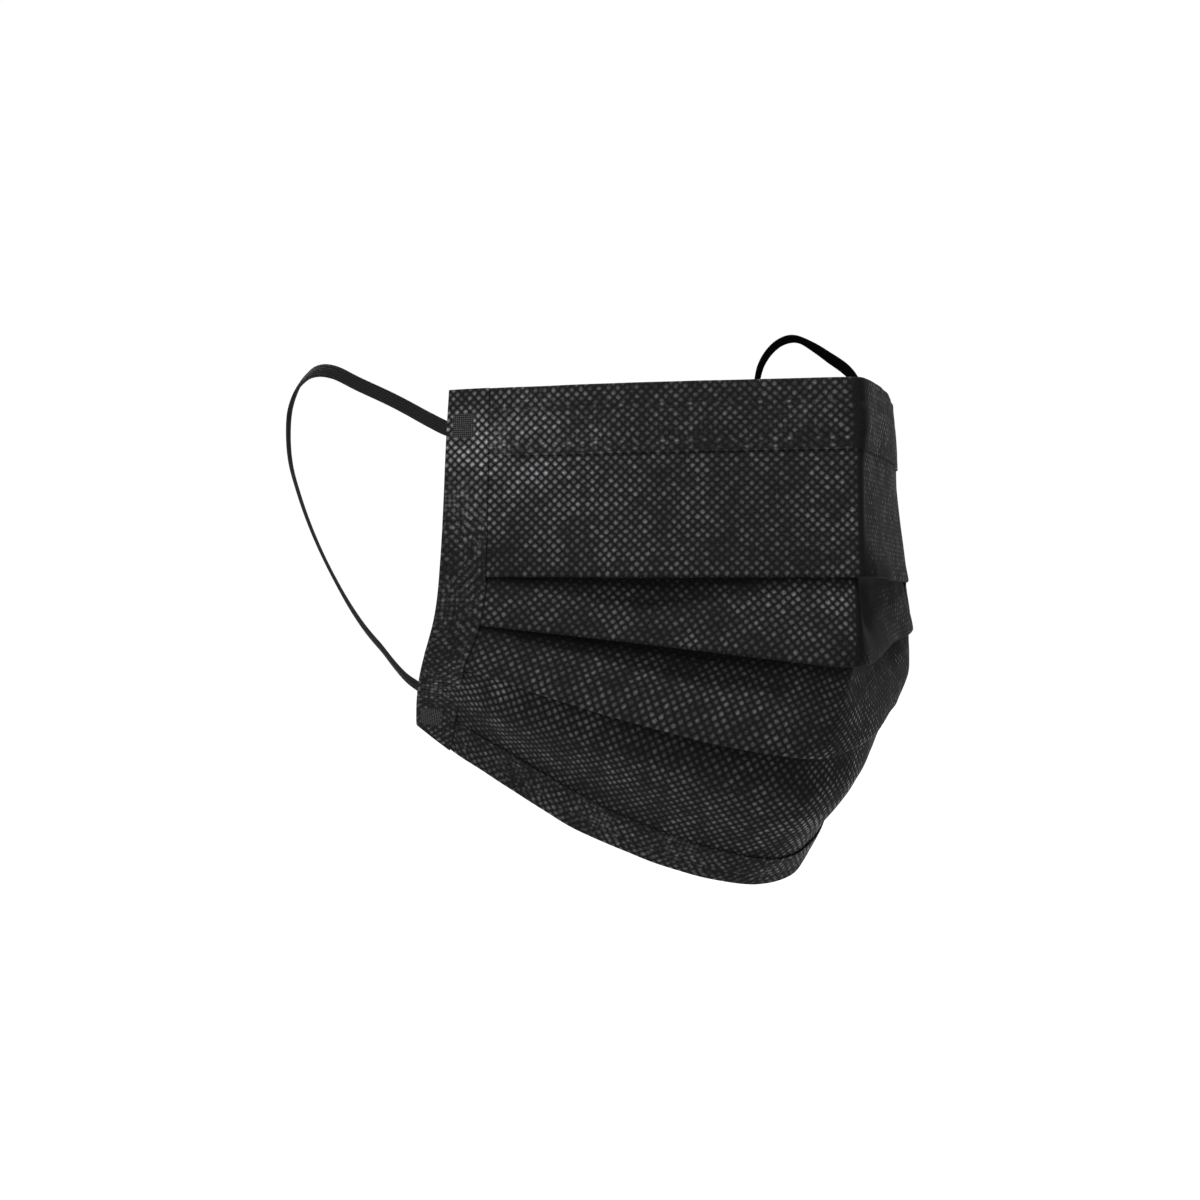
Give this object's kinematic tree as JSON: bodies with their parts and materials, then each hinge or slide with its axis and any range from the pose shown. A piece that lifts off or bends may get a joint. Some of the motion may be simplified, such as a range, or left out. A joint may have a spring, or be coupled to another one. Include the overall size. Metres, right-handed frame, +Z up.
{
  "type": "disposable face mask",
  "caption": "Pleated three-layer nonwoven face mask, open as when worn, with folded hems, welded side bands and flat elastic ear loops.",
  "frame": {"origin": "the seat on the bridge of the nose: the inner face of the top hem on the centre crease, 5 mm below the top edge", "axes": "+Z up as worn, -Y out of the face towards the front, +X towards the wearer's left ear"},
  "size_m": [0.127, 0.1318, 0.1241],
  "materials": {
    "nonwoven": "point-bonded nonwoven, black, matt with a faint sheen on the bond dots",
    "side_band": "point-bonded nonwoven pressed flat, black, matt",
    "elastic": "knitted flat elastic, black, matt"
  },
  "bodies": {
    "root": {"pleated_panel": "nonwoven", "top_hem": "nonwoven", "bottom_hem": "nonwoven", "side_band_right": "side_band", "side_band_left": "side_band", "ear_loop_right": "elastic", "ear_loop_left": "elastic"}
  },
  "joints": []
}
